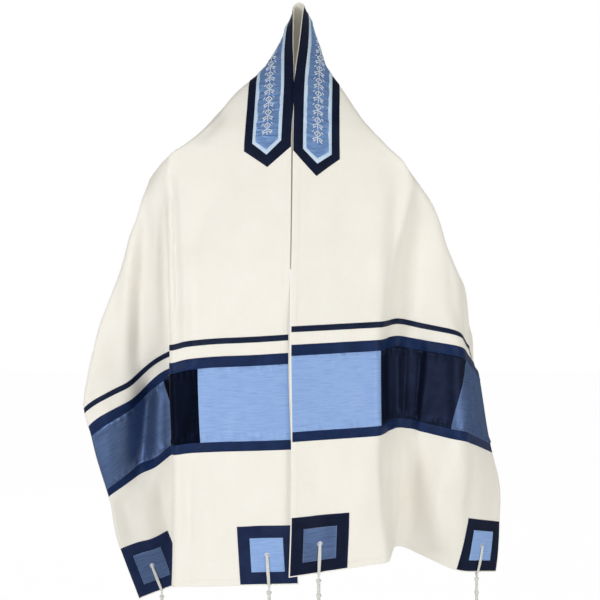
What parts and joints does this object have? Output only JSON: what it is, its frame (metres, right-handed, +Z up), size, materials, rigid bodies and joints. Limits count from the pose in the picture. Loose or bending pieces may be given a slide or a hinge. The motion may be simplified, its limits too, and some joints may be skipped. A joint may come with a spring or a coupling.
{
  "type": "tallit prayer shawl",
  "caption": "Tallit prayer shawl worn over neck and shoulders, with arrow-ended neckband, banded ends, corner squares and knotted tassels.",
  "frame": {"origin": "midway between the wearer's shoulders, at the height of the shoulders", "axes": "+Z up along the wearer's spine, -Y to the wearer's front, +X to the wearer's left"},
  "size_m": [0.7781, 0.2633, 1.4032],
  "materials": {
    "cream_cloth": "matte woven",
    "navy_satin": "satin",
    "midnight_satin": "satin",
    "slate_blue_silk": "slubbed silk",
    "sky_blue_silk": "slubbed silk",
    "pale_piping": "satin",
    "white_thread": "matte twisted"
  },
  "bodies": {
    "root": {"corner_front_left": "navy_satin", "corner_front_right": "navy_satin", "corner_side_left": "navy_satin", "corner_side_right": "navy_satin", "dark_panel_left": "midnight_satin", "dark_panel_right": "midnight_satin", "eyelet_front_left": "sky_blue_silk", "eyelet_front_right": "slate_blue_silk", "eyelet_side_left": "slate_blue_silk", "eyelet_side_right": "sky_blue_silk", "inset_front_left": "sky_blue_silk", "inset_front_right": "slate_blue_silk", "inset_side_left": "slate_blue_silk", "inset_side_right": "sky_blue_silk", "light_panel_left": "sky_blue_silk", "light_panel_right": "sky_blue_silk", "lower_strip_left": "navy_satin", "lower_strip_right": "navy_satin", "narrow_stripe_left": "navy_satin", "narrow_stripe_right": "navy_satin", "neckband": "navy_satin", "neckband_panel": "slate_blue_silk", "neckband_piping": "pale_piping", "shawl_cloth": "cream_cloth", "slate_panel_left": "slate_blue_silk", "slate_panel_right": "slate_blue_silk", "tassel_front_left": "white_thread", "tassel_front_right": "white_thread", "tassel_side_left": "white_thread", "tassel_side_right": "white_thread", "upper_strip_left": "navy_satin", "upper_strip_right": "navy_satin"}
  },
  "joints": []
}
